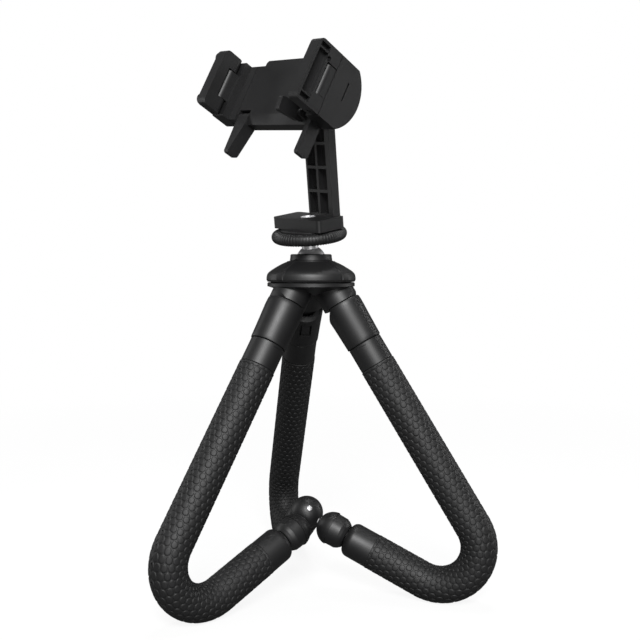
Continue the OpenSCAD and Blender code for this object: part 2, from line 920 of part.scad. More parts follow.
// Side view of a finger that hangs from its pin
module finger_side(l) {
    circle(r = finger_r);
    translate([0, -finger_r])
        round_square([l, 2 * finger_r], finger_round);
    translate([0, -finger_r])
        square([l / 2, 2 * finger_r]);
}
module right_finger() {
    color(plastic)
        on_clamp()
            difference() {
                along_q(right_finger_q, finger_t)
                    translate([finger_pin_h, finger_mid_n])
                        finger_side(finger_l);
                rod_q(0, plate_w, finger_mid_n, finger_pin_h, finger_pin_r + fit);
            }
}
module left_finger() {
    color(plastic)
        on_clamp()
            difference() {
                intersection() {
                    along_q(left_finger_q, finger_root)
                        translate([finger_pin_h, finger_mid_n])
                            finger_side(finger_l + edge);
                    along_n(back_n - over, front_n - back_n + 2 * over)
                        polygon([[left_finger_q, 0], [left_finger_q + finger_root, 0],
                            [left_finger_q + finger_root, plate_down],
                            [left_finger_q + finger_root - wall / 2,
                                finger_pin_h + finger_l + over],
                            [left_finger_q + finger_root - wall / 2 - finger_tip,
                                finger_pin_h + finger_l + over],
                            [left_finger_q, plate_down]]);
                }
                rod_q(0, plate_w, finger_mid_n, finger_pin_h, finger_pin_r + fit);
            }
}
module stop_finger() {
    color(plastic)
        on_clamp()
            translate([0, stop_pin_n, stop_pin_h])
                rotate([-stop_swing, 0, 0])
                    difference() {
                        along_q(stop_place, finger_t)
                            finger_side(stop_l);
                        rod_q(0, plate_w, 0, 0, finger_pin_r + fit);
                    }
}

// Pins of the three fingers, held in the plate
module finger_pins() {
    color(metal)
        on_clamp() {
            rod_q(right_finger_q - pin_run, finger_t + 2 * pin_run, finger_mid_n,
                finger_pin_h, finger_pin_r);
            rod_q(left_finger_q - pin_run + seat, finger_root + pin_run + wall,
                finger_mid_n, finger_pin_h, finger_pin_r);
            rod_q(stop_place - pin_run, finger_t + 2 * pin_run, stop_pin_n, stop_pin_h,
                finger_pin_r);
        }
}

// Cuff round the top of a leg, cut away towards the hub's middle
module cuff(k) {
    color(plastic)
        on_leg(k)
            on_run(0)
                difference() {
                    rotate_extrude()
                        polygon([[cuff_bore, cuff_from], [cuff_r - fine, cuff_from],
                            [cuff_r, cuff_from + fine], [cuff_r, cuff_l / 3],
                            [cuff_low_r, cuff_l - fine], [cuff_low_r - fine, cuff_l],
                            [cuff_bore, cuff_l]]);
                    translate([cuff_r, 0, cuff_cut])
                        rotate([0, 45, 0])
                            translate([0, -cuff_r - over, -4 * cuff_cut])
                                cube([2 * cuff_cut, cuff_d + 2 * over, 8 * cuff_cut]);
                    translate([0, -window_w / 2, window_from])
                        cube([cuff_d, window_w, window_h]);
                }
}

// Collar of a leg, with a spigot and a snap in the cuff and a neck in the sleeve
module collar(k) {
    color(plastic)
        on_leg(k)
            on_run(0)
                difference() {
                    union() {
                        rotate_extrude()
                            polygon([[0, cuff_l - collar_spigot_l],
                                [spigot_r - fine, cuff_l - collar_spigot_l],
                                [spigot_r, cuff_l - collar_spigot_l + fine],
                                [spigot_r, cuff_l + seat],
                                [collar_r - fine, cuff_l + seat],
                                [collar_r, cuff_l + seat + fine],
                                [collar_r, collar_end - fine],
                                [collar_r - fine, collar_end],
                                [neck_r, collar_end], [neck_r, collar_end + neck_l],
                                [0, collar_end + neck_l]]);
                        translate([spigot_r - edge, snap_slit - window_w / 2,
                            window_from + fine])
                            cube([edge + cuff_low_r - spigot_r - fine,
                                window_w - 2 * snap_slit, window_h - 2 * fine]);
                    }
                    translate([0, 0, cuff_l - collar_spigot_l - over])
                        cylinder(r = rod_r + seat,
                            h = collar_spigot_l + collar_l + neck_l + 2 * over);
                    for (a = [0:180:180])
                        rotate([0, 0, a + 90])
                            translate([collar_r - edge / 2, -slit_w / 2, cuff_l + 2 * edge])
                                cube([edge, slit_w, edge / 2]);
                }
}

// Straight runs of the rubber sleeve of a leg, and the two halves of its bend
module sleeve_top(k) {
    color(rubber)
        on_leg(k)
            on_run(collar_end)
                rotate_extrude()
                    polygon([[neck_r + seat, 0], [sleeve_r, 0], [sleeve_r, top_l - seam],
                        [rod_r + seat, top_l - seam], [rod_r + seat, neck_l + seat],
                        [neck_r + seat, neck_l + seat]]);
}
module sleeve_upper(k) {
    color(rubber)
        on_leg(k)
            on_run(collar_end + top_l)
                tube(sleeve_r, rod_r + seat, leg_run - collar_end - top_l - seam);
}
module sleeve_bend(k) {
    color(rubber)
        on_leg(k)
            difference() {
                bend_part(k, 0, sleeve_r);
                bend_part(k, 0, rod_r + seat);
            }
}
module sleeve_turn(k) {
    color(rubber)
        difference() {
            on_leg(k)
                bend_part(k, 1, sleeve_r);
            on_leg(k)
                bend_part(k, 1, rod_r + seat);
            translate([0, 0, -floor_flat - over])
                cylinder(r = leg_run + bend_r, h = floor_flat + over);
        }
}
module sleeve_lower(k) {
    color(rubber)
        on_leg(k)
            on_low(k, 0)
                rotate_extrude()
                    polygon([[rod_r + seat, seam], [sleeve_r, seam], [sleeve_r, cap_start],
                        [neck_r + seat, cap_start], [neck_r + seat, cap_start - neck_l - seat],
                        [rod_r + seat, cap_start - neck_l - seat]]);
}

// Straight runs of the soft rod in a leg, and the two halves of its bend
module rod_upper(k) {
    color(metal)
        on_leg(k)
            on_run(cuff_l)
                cylinder(r = rod_r, h = leg_run - cuff_l);
}
module rod_half(k, i) {
    color(metal)
        on_leg(k)
            bend_part(k, i, rod_r);
}
module rod_lower(k) {
    color(metal)
        on_leg(k)
            on_low(k, 0)
                rotate_extrude()
                    polygon([[0, 0], [rod_r, 0], [rod_r, cap_start],
                        [rod_tip_r, cap_start], [rod_tip_r, low_run + foot_front + fine],
                        [0, low_run + foot_front + fine]]);
}

// End cap of a sleeve, with a neck in the sleeve
module end_cap(k) {
    color(plastic)
        on_leg(k)
            on_low(k, cap_start)
                difference() {
                    rotate_extrude() {
                        square([neck_r, cap_l]);
                        translate([0, -neck_l])
                            square([neck_r, neck_l + over]);
                        square([cap_r, cap_l - cap_round]);
                        square([cap_r - cap_round, cap_l]);
                        translate([cap_r - cap_round, cap_l - cap_round])
                            circle(r = cap_round);
                    }
                    translate([0, 0, -neck_l - over])
                        cylinder(r = rod_r + seat, h = neck_l + over + seat);
                    translate([0, 0, -over])
                        cylinder(r = rod_tip_r + seat, h = cap_l + 2 * over);
                }
}

// Foot at the end of a leg: a round skirt, a fine step and a dome
module foot(k) {
    color(plastic)
        on_leg(k)
            on_low(k, low_run - foot_back)
                difference() {
                    rotate_extrude() {
                        polygon([[0, 0], [foot_neck_r - fine, 0], [foot_neck_r, fine],
                            [foot_r - foot_step - edge, skirt_l / 2],
                            [foot_r - foot_step, skirt_l],
                            [foot_r - foot_step + fine / 2, foot_back],
                            [0, foot_back]]);
                        intersection() {
                            translate([0, foot_back - edge])
                                square([foot_d, foot_back + foot_front]);
                            translate([0, foot_back + foot_front - foot_r])
                                circle(r = foot_r);
                        }
                    }
                    translate([0, 0, -over])
                        cylinder(r = rod_tip_r + seat, h = foot_back + foot_front + 2 * over);
                }
}

// The right leg
module cuff_right() {
    cuff(0);
}
module collar_right() {
    collar(0);
}
module sleeve_top_right() {
    sleeve_top(0);
}
module sleeve_upper_right() {
    sleeve_upper(0);
}
module sleeve_bend_right() {
    sleeve_bend(0);
}
module sleeve_turn_right() {
    sleeve_turn(0);
}
module sleeve_lower_right() {
    sleeve_lower(0);
}
module rod_upper_right() {
    rod_upper(0);
}
module rod_bend_right() {
    rod_half(0, 0);
}
module rod_turn_right() {
    rod_half(0, 1);
}
module rod_lower_right() {
    rod_lower(0);
}
module end_cap_right() {
    end_cap(0);
}
module foot_right() {
    foot(0);
}

// The rear leg
module cuff_rear() {
    cuff(1);
}
module collar_rear() {
    collar(1);
}
module sleeve_top_rear() {
    sleeve_top(1);
}
module sleeve_upper_rear() {
    sleeve_upper(1);
}
module sleeve_bend_rear() {
    sleeve_bend(1);
}
module sleeve_turn_rear() {
    sleeve_turn(1);
}
module sleeve_lower_rear() {
    sleeve_lower(1);
}
module rod_upper_rear() {
    rod_upper(1);
}
module rod_bend_rear() {
    rod_half(1, 0);
}
module rod_turn_rear() {
    rod_half(1, 1);
}
module rod_lower_rear() {
    rod_lower(1);
}
module end_cap_rear() {
    end_cap(1);
}
module foot_rear() {
    foot(1);
}

// The left leg
module cuff_left() {
    cuff(2);
}
module collar_left() {
    collar(2);
}
module sleeve_top_left() {
    sleeve_top(2);
}
module sleeve_upper_left() {
    sleeve_upper(2);
}
module sleeve_bend_left() {
    sleeve_bend(2);
}
module sleeve_turn_left() {
    sleeve_turn(2);
}
module sleeve_lower_left() {
    sleeve_lower(2);
}
module rod_upper_left() {
    rod_upper(2);
}
module rod_bend_left() {
    rod_half(2, 0);
}
module rod_turn_left() {
    rod_half(2, 1);
}
module rod_lower_left() {
    rod_lower(2);
}
module end_cap_left() {
    end_cap(2);
}
module foot_left() {
    foot(2);
}

hub_body();
lock_knob();
ball_cup();
ball_stud();
lock_wheel();
wheel_washer();
bracket();
block_insert();
tilt_pin();
clamp_plate();
rear_cover();
slider();
slide_springs();
right_jaw();
left_jaw();
right_jaw_pin();
left_jaw_pin();
right_finger();
left_finger();
stop_finger();
finger_pins();
cuff_right();
collar_right();
sleeve_top_right();
sleeve_upper_right();
sleeve_bend_right();
sleeve_turn_right();
sleeve_lower_right();
rod_upper_right();
rod_bend_right();
rod_turn_right();
rod_lower_right();
end_cap_right();
foot_right();
cuff_rear();
collar_rear();
sleeve_top_rear();
sleeve_upper_rear();
sleeve_bend_rear();
sleeve_turn_rear();
sleeve_lower_rear();
rod_upper_rear();
rod_bend_rear();
rod_turn_rear();
rod_lower_rear();
end_cap_rear();
foot_rear();
cuff_left();
collar_left();
sleeve_top_left();
sleeve_upper_left();
sleeve_bend_left();
sleeve_turn_left();
sleeve_lower_left();
rod_upper_left();
rod_bend_left();
rod_turn_left();
rod_lower_left();
end_cap_left();
foot_left();
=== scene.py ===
import math

import bpy
import numpy as np
from mathutils import Matrix, Vector
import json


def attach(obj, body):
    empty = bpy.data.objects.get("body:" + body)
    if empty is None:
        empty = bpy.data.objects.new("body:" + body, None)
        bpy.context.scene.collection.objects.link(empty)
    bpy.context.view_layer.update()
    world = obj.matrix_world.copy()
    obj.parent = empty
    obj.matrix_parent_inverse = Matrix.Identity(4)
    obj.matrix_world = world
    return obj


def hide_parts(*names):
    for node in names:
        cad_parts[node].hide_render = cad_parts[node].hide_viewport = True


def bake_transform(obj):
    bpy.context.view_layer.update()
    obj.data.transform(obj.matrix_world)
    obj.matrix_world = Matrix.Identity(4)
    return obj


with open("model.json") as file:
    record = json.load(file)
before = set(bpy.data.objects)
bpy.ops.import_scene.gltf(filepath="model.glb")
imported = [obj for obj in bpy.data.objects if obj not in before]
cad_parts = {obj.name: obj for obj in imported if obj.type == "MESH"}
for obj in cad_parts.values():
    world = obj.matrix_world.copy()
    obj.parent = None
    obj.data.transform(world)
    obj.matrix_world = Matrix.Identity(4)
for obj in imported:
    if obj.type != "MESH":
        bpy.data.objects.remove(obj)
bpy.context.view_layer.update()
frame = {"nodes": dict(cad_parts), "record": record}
nodes = frame["nodes"]


# Camera: level with the knob and half a metre in front of it, as the photograph
# was taken. Plain white in the scene stays plain white in the picture.
def add_object(name, data):
    """Put a mesh, a lamp or a camera into the scene as an object of its own."""
    made = bpy.data.objects.new(name, data)
    bpy.context.scene.collection.objects.link(made)
    return made


eye = bpy.data.cameras.new("eye")
eye.lens = 51.05
eye.sensor_width = 36.0
eye.clip_start = 0.01
camera = add_object("eye", eye)
camera.location = (0.0048, -0.4890, 0.1775)
camera.rotation_euler = (math.radians(86.4), 0.0, 0.0)
bpy.context.scene.camera = camera
bpy.context.scene.view_settings.view_transform = "Standard"


# Studio floor: a sheet of white paper that the camera sees as plain white.
# Near the object it keeps a tenth of its shading, so that faint shadows are left.
class Wire:
    """One output of a node, so that the maths between nodes is written as formulas."""

    def __init__(self, socket):
        self.socket = socket
        self.tree = socket.id_data

    @classmethod
    def add(cls, tree, kind, output, inputs, **settings):
        """Add a node, set it up, give its inputs values or wires and return one output."""
        node = tree.nodes.new(kind)
        for name, value in settings.items():
            setattr(node, name, value)
        for key, value in inputs.items():
            if isinstance(value, Wire):
                tree.links.new(value.socket, node.inputs[key])
            else:
                node.inputs[key].default_value = value
        return None if output is None else cls(node.outputs[output])

    def other(self, output):
        """Another output of the same node."""
        return Wire(self.socket.node.outputs[output])

    def maths(self, operation, first, second):
        """A Math node between two wires, or a wire and a number."""
        return Wire.add(self.tree, "ShaderNodeMath", "Value", {0: first, 1: second},
                        operation=operation)

    def __add__(self, value):
        return self.maths("ADD", self, value)

    def __radd__(self, value):
        return self.maths("ADD", value, self)

    def __mul__(self, value):
        return self.maths("MULTIPLY", self, value)

    def __rmul__(self, value):
        return self.maths("MULTIPLY", value, self)

    def __truediv__(self, value):
        return self.maths("DIVIDE", self, value)

    def __rtruediv__(self, value):
        return self.maths("DIVIDE", value, self)


white = (1, 1, 1, 1)
floor_half = 6.0
floor_z = -0.0002
paper = bpy.data.materials.new("studio_paper")
paper.use_nodes = True
tree = paper.node_tree
tree.nodes.clear()
seen = Wire.add(tree, "ShaderNodeLightPath", "Is Camera Ray", {})
where = Wire.add(tree, "ShaderNodeTexCoord", "Object", {})
reach = Wire.add(tree, "ShaderNodeVectorMath", "Value", {0: where}, operation="LENGTH")
fade = Wire.add(tree, "ShaderNodeMapRange", "Result",
                {"Value": reach, "From Min": 0.18, "From Max": 0.75, "To Min": 0.9, "To Max": 1.0})
matt = Wire.add(tree, "ShaderNodeBsdfDiffuse", "BSDF", {"Color": 0.12 + 0.8 * seen})
glow = Wire.add(tree, "ShaderNodeEmission", "Emission", {"Color": white})
both = Wire.add(tree, "ShaderNodeMixShader", "Shader", {0: fade * seen, 1: matt, 2: glow})
Wire.add(tree, "ShaderNodeOutputMaterial", None, {"Surface": both})
floor = bpy.data.meshes.new("studio_floor")
floor.from_pydata([(-floor_half, -floor_half, 0), (floor_half, -floor_half, 0),
                   (floor_half, floor_half, 0), (-floor_half, floor_half, 0)], [], [(0, 1, 2, 3)])
floor.materials.append(paper)
floor_object = add_object("studio_floor", floor)
floor_object.location.z = floor_z

# Room: plain white behind the object for the camera, and nearly dark for everything
# else, because the lamps do the lighting. Glossy faces mirror a little more of it.
world = bpy.data.worlds.new("studio")
world.use_nodes = True
bpy.context.scene.world = world
tree = world.node_tree
tree.nodes.clear()
rays = Wire.add(tree, "ShaderNodeLightPath", "Is Camera Ray", {})
room_light = 0.02 + 0.07 * rays.other("Is Glossy Ray")
room = Wire.add(tree, "ShaderNodeBackground", "Background",
                {"Color": white, "Strength": room_light})
backdrop = Wire.add(tree, "ShaderNodeBackground", "Background",
                    {"Color": white, "Strength": 1.0})
both = Wire.add(tree, "ShaderNodeMixShader", "Shader", {0: rays, 1: room, 2: backdrop})
Wire.add(tree, "ShaderNodeOutputWorld", None, {"Surface": both})

# Lamps: a large soft box over the camera, a weak one below it, one above the clamp,
# and a tall thin strip behind each side that draws the edges.
for name, place, aim, size, power in (
    ("key", (0.02, -0.95, 0.80), (0, 0, 0.16), (0.45, 0.40), 19.0),
    ("low", (0.10, -1.00, 0.12), (0, 0, 0.08), (0.30, 0.20), 3.0),
    ("top", (0.05, 0.10, 0.95), (0, 0, 0.2), (0.35, 0.30), 5.0),
    ("edge_left", (-0.90, 0.35, 0.30), (0, 0, 0.15), (0.08, 0.8), 2.0),
    ("edge_right", (0.90, 0.30, 0.30), (0, 0, 0.15), (0.08, 0.8), 2.0),
):
    lamp = bpy.data.lights.new(name, "AREA")
    lamp.shape = "RECTANGLE"
    lamp.size, lamp.size_y = size
    lamp.energy = power
    lamp_object = add_object(name, lamp)
    lamp_object.location = place
    turn = (Vector(aim) - Vector(place)).to_track_quat("-Z", "Y")
    lamp_object.rotation_euler = turn.to_euler()


# Steel pins and springs: drawn wire, cut to length and pressed into the mouldings.
# The soft rod of a leg is made of the same plain steel.
def noise(where, scale, detail, roughness=0.5):
    """Mottling of a surface, between 0 and 1."""
    return Wire.add(where.tree, "ShaderNodeTexNoise", "Fac",
                    {"Vector": where, "Scale": scale, "Detail": detail, "Roughness": roughness})


def surface(name, looks):
    """A material with the shader inputs that looks works out from Object coordinates."""
    made = bpy.data.materials.new(name)
    made.use_nodes = True
    tree = made.node_tree
    tree.nodes.clear()
    where = Wire.add(tree, "ShaderNodeTexCoord", "Object", {})
    shader = Wire.add(tree, "ShaderNodeBsdfPrincipled", "BSDF", looks(where))
    Wire.add(tree, "ShaderNodeOutputMaterial", None, {"Surface": shader})
    return made


def paint_nodes(slot, material):
    """Give the CAD nodes of one material slot their finish, and return them."""
    painted = [nodes[part["node"]] for part in frame["record"]["subparts"]
               if part["material_slot"] == slot]
    for node in painted:
        node.data.materials.clear()
        node.data.materials.append(material)
    return painted


def drawn_steel(where):
    return {"Base Color": (0.42, 0.42, 0.43, 1), "Metallic": 1.0,
            "Roughness": 0.26 + 0.2 * noise(where, 600.0, 2.0)}


steel = surface("plain_steel", drawn_steel)
paint_nodes("steel", steel)
paint_nodes("soft_rod", steel)


# Ball, stud, insert and leg tips: turned from bar and plated, with a faint mottling of their
# roughness.
# The plating is worn satin, so it is a little less metallic than a new mirror finish.
def plated(where):
    return {"Base Color": (0.70, 0.70, 0.71, 1), "Metallic": 0.72,
            "Roughness": 0.36 + 0.14 * noise(where, 900.0, 2.0)}


bright = surface("bright_metal", plated)
paint_nodes("bright_metal", bright)


# Soft rods: the thick rod inside each leg bends and holds its shape, and its thin
# end carries the foot. It is made in three stretches, one for each joint of the leg.
leg_lean = math.radians(32.0)
leg_run = 0.1357
leg_spread = 0.0164
bend_r = 0.0213
cuff_end = 0.0253
collar_end = 0.0389
cap_start = 0.0296
sleeve_r = 0.00945
floor_flat = 0.00035
rod_r = 0.003
rod_steps = 160
rod_sides = 20
# the row of the rod where its top stretch ends, in the first half of the bend
top_rows = 110
rod_tip = ((0.0, 0.0015), (0.0334, 0.0015), (0.0336, 0.0013), (0.0337, 0.0))
top_hinge = collar_end + 0.015 - leg_run
hinge_reach = 0.010
# each leg's side, its turn about the upright axis and the turn of its bend
legs = [(side, math.radians(azimuth), math.radians(bend_turn)) for side, azimuth, bend_turn in
        (("right", -18.2, 146.4), ("rear", 101.8, 151.0), ("left", 221.8, 146.4))]
axis_z = (sleeve_r - floor_flat + leg_run * math.cos(leg_lean)
          + bend_r * (1 + math.sin(leg_lean)))
leg_top = np.array((leg_spread, 0, axis_z))
bend_mid = (leg_top + leg_run * np.array((math.sin(leg_lean), 0, -math.cos(leg_lean)))
            - bend_r * np.array((math.cos(leg_lean), 0, math.sin(leg_lean))))


def round_leg(along, angle, radius, azimuth, bend_turn):
    """Points by their distance along a leg from its bend, angle round it and radius."""
    leaning = leg_lean - np.clip(along / bend_r, 0, bend_turn)
    zero = np.zeros(len(along))
    ahead = np.stack([np.sin(leaning), zero, -np.cos(leaning)], 1)
    outer = np.stack([np.cos(leaning), zero, np.sin(leaning)], 1)
    straight = np.where(along < 0, along, np.maximum(along - bend_r * bend_turn, 0))
    points = (bend_mid + bend_r * outer + straight[:, None] * ahead
              + (radius * np.cos(angle))[:, None] * outer
              + (radius * np.sin(angle))[:, None] * np.array((0.0, 1.0, 0.0)))
    return points @ np.array(Matrix.Rotation(azimuth, 3, "Z")).T


def skin(rings, columns, closed=False, turned_over=False):
    """Quads between neighbouring rings of points, the last and the first too if closed."""
    faces = []
    for ring in range(rings if closed else rings - 1):
        low, high = ring * columns, (ring + 1) % rings * columns
        for column in range(columns):
            a, b = low + column, low + (column + 1) % columns
            c, d = high + (column + 1) % columns, high + column
            faces.append((a, d, c, b) if turned_over else (a, b, c, d))
    return faces


def smooth_object(name, mesh, material, sharp=None):
    """Shade a finished mesh smooth, but for edges over the sharp angle, and paint it."""
    mesh.polygons.foreach_set("use_smooth", [True] * len(mesh.polygons))
    if sharp is not None:
        mesh.set_sharp_from_angle(angle=math.radians(sharp))
    mesh.materials.clear()
    mesh.materials.append(material)
    return add_object(name, mesh)


def stretches(side, arc):
    """A leg's three stretches: the bodies that each joins, and where it bends."""
    return (
        ("top", "hub", "leg_" + side, top_hinge - hinge_reach, top_hinge + hinge_reach),
        ("middle", "leg_" + side, "leg_bend_" + side, 0.0, arc / 2),
        ("end", "leg_bend_" + side, "leg_end_" + side, arc / 2, arc),
    )


def bent_piece(name, points, faces, material, along, joins):
    """A piece of a leg, shaded smooth and painted, with its points fixed where they are made."""
    first_body, next_body, bend_from, bend_to = joins
    mesh = bpy.data.meshes.new(name)
    mesh.from_pydata(points.tolist(), [], faces)
    piece = smooth_object(name, mesh, material)
    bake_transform(piece)
    # a share that eases from nought to one over the bend, by distance along the leg's own line
    share = np.clip((along - bend_from) / (bend_to - bend_from), 0, 1)
    share = share * share * (3 - 2 * share)
    return piece


for side, azimuth, bend_turn in legs:
    arc = bend_r * bend_turn
    rod_end = arc + cap_start
    along = np.append(np.linspace(cuff_end - leg_run, rod_end, rod_steps + 1),
                      [rod_end + distance for distance, _ in rod_tip])
    radius = np.append(np.full(rod_steps + 1, rod_r), [tip_r for _, tip_r in rod_tip])
    halfway = int(np.argmin(abs(along - arc / 2)))
    for (name, *joins), first, last, stands_for in zip(
        stretches(side, arc),
        (0, top_rows, halfway),
        (top_rows + 1, halfway + 1, len(along)),
        (("rod_upper_",), ("rod_bend_",), ("rod_turn_", "rod_lower_")),
    ):
        piece_along = np.repeat(along[first:last], rod_sides)
        angle = np.tile(2 * math.pi * np.arange(rod_sides) / rod_sides, last - first)
        points = round_leg(piece_along, angle, np.repeat(radius[first:last], rod_sides),
                           azimuth, bend_turn)
        piece = bent_piece("soft_rod_%s_%s" % (name, side), points,
                           skin(last - first, rod_sides, turned_over=True),
                           bright if name == "end" else steel, piece_along, joins)
        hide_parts(*[node + side for node in stands_for])


# Sleeves: moulded rubber with raised, rounded six-sided pads in a staggered pattern,
# pulled over the rod from the collar to the end cap. The pads stretch on the outside
# of the bend and crowd on its inside, and the sleeve flattens where it stands.
def between(share, dark, light):
    """A colour between two others."""
    return Wire.add(share.tree, "ShaderNodeMix", 2, {0: share, 6: dark, 7: light},
                    data_type="RGBA", blend_type="MIX")


def relief(height, strength, depth):
    """A fine grain that only bends the light."""
    return Wire.add(height.tree, "ShaderNodeBump", "Normal",
                    {"Height": height, "Strength": strength, "Distance": depth})


def dry_rubber(where):
    grain = noise(where, 3800.0, 4.0, 0.7)
    bloom = noise(where, 70.0, 3.0)
    return {"Base Color": between(bloom, (0.0045, 0.0045, 0.0047, 1),
                                  (0.0085, 0.0085, 0.0088, 1)),
            "Roughness": 0.47 + 0.14 * bloom + 0.06 * grain,
            "Normal": relief(grain, 0.18, 0.0001), "IOR": 1.45}


def new_tree(name, **sizes):
    """A Geometry Nodes tree with a mesh, named sizes and a material as its inputs."""
    tree = bpy.data.node_groups.new(name, "GeometryNodeTree")
    sizes = {"Geometry": "NodeSocketGeometry", **sizes, "Material": "NodeSocketMaterial"}
    for size, kind in sizes.items():
        tree.interface.new_socket(size, in_out="INPUT", socket_type=kind)
    tree.interface.new_socket("Geometry", in_out="OUTPUT", socket_type="NodeSocketGeometry")
    return tree, Wire.add(tree, "NodeGroupInput", "Geometry", {})


def end_tree(tree, shape, given):
    """Shade the shape smooth, make it real, paint it and hand it out."""
    smooth = Wire.add(tree, "GeometryNodeSetShadeSmooth", "Geometry", {"Geometry": shape})
    real = Wire.add(tree, "GeometryNodeRealizeInstances", "Geometry", {"Geometry": smooth})
    painted = Wire.add(tree, "GeometryNodeSetMaterial", "Geometry",
                       {"Geometry": real, "Material": given.other("Material")})
    Wire.add(tree, "NodeGroupOutput", None, {"Geometry": painted})


def plain_mesh(carrier):
    """The mesh that an object's modifiers make of it. The object itself is taken away."""
    bpy.context.view_layer.update()
    graph = bpy.context.evaluated_depsgraph_get()
    mesh = bpy.data.meshes.new_from_object(carrier.evaluated_get(graph))
    bpy.data.objects.remove(carrier)
    return mesh


def grow(tree, blank, **sizes):
    """Run a tree on a mesh, with its named inputs set, and return the plain result."""
    carrier = add_object(blank.name, blank)
    maker = carrier.modifiers.new(tree.name, "NODES")
    maker.node_group = tree
    for item in tree.interface.items_tree:
        if item.in_out == "INPUT" and item.name in sizes:
            maker[item.identifier] = sizes[item.name]
    return plain_mesh(carrier)


# each pad narrows a little up to its crown, and a smaller flat top is raised on that
crown_scale, crown_rise, top_scale = 0.94, 0.00004, 0.8
pads, given = new_tree("sleeve_pads", Rise="NodeSocketFloat", Groove="NodeSocketFloat")
cells = Wire.add(pads, "GeometryNodeDualMesh", 0, {"Mesh": given, "Keep Boundaries": True})
split = Wire.add(pads, "GeometryNodeExtrudeMesh", "Mesh",
                 {"Mesh": cells, "Offset Scale": 0.0}, mode="FACES")
inset = Wire.add(pads, "GeometryNodeScaleElements", "Geometry",
                 {"Geometry": split, "Selection": split.other("Top"),
                  "Scale": given.other("Groove")})
lift = Wire.add(pads, "GeometryNodeExtrudeMesh", "Mesh",
                {"Mesh": inset, "Selection": split.other("Top"),
                 "Offset Scale": given.other("Rise")}, mode="FACES")
crown = Wire.add(pads, "GeometryNodeScaleElements", "Geometry",
                 {"Geometry": lift, "Selection": lift.other("Top"), "Scale": crown_scale})
flat_top = Wire.add(pads, "GeometryNodeExtrudeMesh", "Mesh",
                    {"Mesh": crown, "Selection": lift.other("Top"),
                     "Offset Scale": crown_rise}, mode="FACES")
held = Wire.add(pads, "GeometryNodeScaleElements", "Geometry",
                {"Geometry": flat_top, "Selection": flat_top.other("Top"), "Scale": top_scale})
rounded = Wire.add(pads, "GeometryNodeSubdivisionSurface", "Mesh", {"Mesh": held, "Level": 1})
end_tree(pads, rounded, given)

rubber = surface("sleeve_rubber", dry_rubber)
paint_nodes("rubber", rubber)
pads_around = 16
pad_pair = 0.0062
pad_rise, pad_scale = 0.00027, 0.93
groove_depth = 0.00022
pitch = 2 * math.pi * sleeve_r / pads_around
girth = pitch * pads_around
# the pattern is laid out flat, x along the leg and y round it, and made too wide
columns = pads_around + 5
lip_sides = 64
lip_outline = ((0.0, -0.0028), (0.0, -0.0001), (0.0002, 0.00022), (0.0010, 0.00022),
               (0.0012, -0.0001))
top_sleeve_end = -0.036
for side, azimuth, bend_turn in legs:
    arc = bend_r * bend_turn
    length = leg_run - collar_end + arc + cap_start
    rows = 2 * round(length / pad_pair)
    verts = [(length * i / rows, pitch * (j - 2 + 0.5 * (i % 2)), 0.0)
             for i in range(rows + 1) for j in range(columns)]
    faces = []
    for i in range(rows):
        for a in range(i * columns, (i + 1) * columns - 1):
            b, c, d = a + 1, a + columns, a + columns + 1
            faces += [(a, c, d), (a, d, b)] if i % 2 else [(a, c, b), (b, c, d)]
    blank = bpy.data.meshes.new("sleeve_blank")
    blank.from_pydata(verts, [], faces)
    padded = grow(pads, blank, Rise=pad_rise, Groove=pad_scale, Material=rubber)
    sheet = np.empty(len(padded.vertices) * 3)
    padded.vertices.foreach_get("co", sheet)
    sheet = sheet.reshape(-1, 3)
    # one girth of the pattern closes on itself
    polygons = [tuple(p.vertices) for p in padded.polygons]
    polygons = [p for p in polygons if 0 <= sum(sheet[v][1] for v in p) / len(p) < girth]
    bpy.data.meshes.remove(padded)
    # a plain moulded lip at either end
    for start, way in ((0.0, 1), (length, -1)):
        first = len(sheet)
        lip = [(start + way * distance, girth * j / lip_sides, height)
               for distance, height in lip_outline for j in range(lip_sides)]
        sheet = np.vstack([sheet, lip])
        for face in skin(len(lip_outline), lip_sides, turned_over=way > 0):
            polygons.append(tuple(first + corner for corner in face))
    # the sheet is rolled round the leg's middle line and rests on the floor
    along = sheet[:, 0] - (leg_run - collar_end)
    rolled = round_leg(along, sheet[:, 1] / sleeve_r, sleeve_r - groove_depth + sheet[:, 2],
                       azimuth, bend_turn)
    rolled[:, 2] = np.maximum(rolled[:, 2], 0.0)
    middles = np.array([along[list(p)].mean() for p in polygons])
    for (name, *joins), low, high, stands_for in zip(
        stretches(side, arc),
        (-leg_run, top_sleeve_end, arc / 2),
        (top_sleeve_end, arc / 2, leg_run),
        (("sleeve_top_", "sleeve_upper_"), ("sleeve_bend_",), ("sleeve_turn_", "sleeve_lower_")),
    ):
        kept = [p for p, m in zip(polygons, middles) if low <= m < high]
        used = sorted({v for p in kept for v in p})
        index = {v: i for i, v in enumerate(used)}
        piece = bent_piece("rubber_%s_%s" % (name, side), rolled[used],
                           [[index[v] for v in p] for p in kept], rubber, along[used], joins)
        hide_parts(*[node + side for node in stands_for])


# Black mouldings: the hub and its tower, the collars, caps and feet of the legs, and
# the bracket, clamp, jaws and fingers, all of satin black plastic, a little worn and
# dusty. The mould leaves their edges slightly round.
def black_plastic(where):
    grain = noise(where, 5200.0, 3.0, 0.6)
    smear = noise(where, 55.0, 4.0)
    return {"Base Color": between(smear, (0.0042, 0.0042, 0.0045, 1),
                                  (0.0075, 0.0075, 0.0078, 1)),
            "Roughness": 0.36 + 0.16 * smear + 0.08 * grain,
            "Normal": relief(grain, 0.22, 0.00008), "IOR": 1.5}


def round_edges(moulding, width):
    """Round the edges of a moulding."""
    rounding = moulding.modifiers.new("moulded_edges", "BEVEL")
    rounding.width, rounding.segments = width, 2
    rounding.limit_method, rounding.angle_limit = "ANGLE", math.radians(38)
    return rounding


